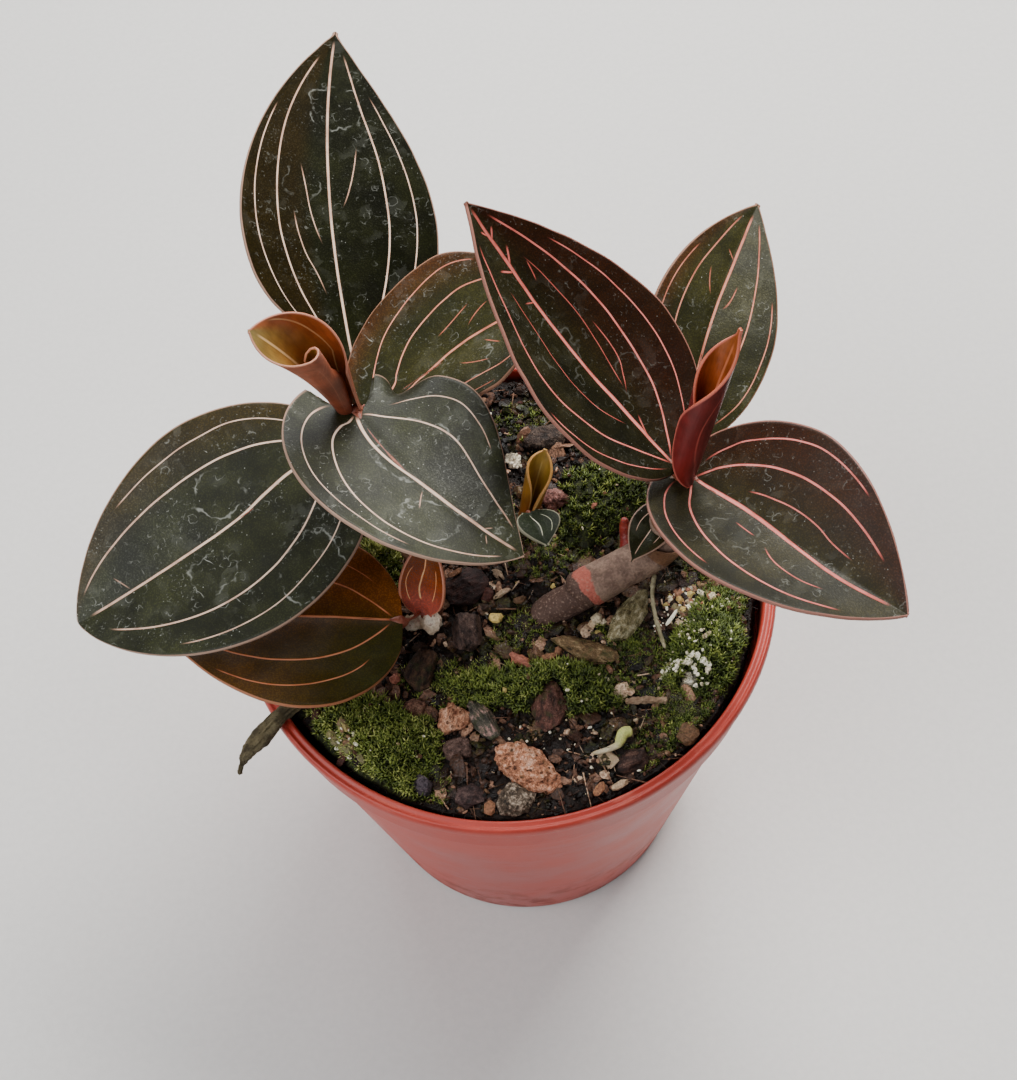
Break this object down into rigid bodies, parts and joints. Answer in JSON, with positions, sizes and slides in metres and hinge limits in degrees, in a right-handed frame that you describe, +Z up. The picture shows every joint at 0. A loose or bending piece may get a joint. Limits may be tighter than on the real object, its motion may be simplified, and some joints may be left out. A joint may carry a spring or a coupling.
{
  "type": "potted jewel orchid",
  "caption": "Jewel orchid with velvety, vein-striped leaves and rolled young leaves, growing in a tapered plastic nursery pot of bark mix topped with moss, clay and stones.",
  "frame": {"origin": "centre of the pot's underside, on the surface that the pot stands on", "axes": "+Z up along the pot's axis; the pictured front of the plant looks along -Y, with +X to its right"},
  "size_m": [0.1238, 0.1355, 0.1464],
  "materials": {
    "pot": "satin",
    "soil": "matte",
    "stem": "satin",
    "leaf": "satin",
    "brown_leaf": "satin",
    "new_leaf": "satin",
    "bark": "matte",
    "sprout": "satin",
    "root": "matte",
    "clay": "matte",
    "stone": "matte",
    "perlite": "matte",
    "moss": "matte"
  },
  "bodies": {
    "root": {"pot": "pot", "left_stem": "stem", "right_stem": "stem", "soil": "soil", "rolled_leaf_left": "new_leaf", "rolled_leaf_right": "new_leaf", "rolled_leaf_centre": "new_leaf", "leaf_left_front": "leaf", "leaf_right_large": "leaf", "leaf_right_front": "leaf", "leaf_left_middle": "leaf", "leaf_left_tall": "leaf", "leaf_left_large": "leaf", "leaf_left_low": "brown_leaf", "leaf_right_back": "leaf", "leaf_right_small": "leaf", "leaf_centre_small": "leaf", "bud_leaf_left": "new_leaf", "twig": "bark", "stick": "bark", "sprout": "sprout", "thin_root": "root", "bark_oval": "bark", "bark_block": "bark", "bark_dark": "bark", "bark_red": "bark", "bark_mossy": "bark", "bark_long": "bark", "bark_back": "bark", "bark_right": "bark", "bark_rim": "bark", "bark_corner": "bark", "clay_round": "clay", "clay_rough": "clay", "clay_large": "clay", "clay_small": "clay", "clay_back": "clay", "stone_leaning": "stone", "stone_flat": "stone", "stone_grey": "stone", "stone_brown": "stone", "stone_purple": "stone", "perlite_back": "perlite", "perlite_right": "perlite", "moss_front_left": "moss", "moss_front": "moss", "moss_right": "moss", "moss_back": "moss", "moss_left": "moss"}
  },
  "joints": []
}
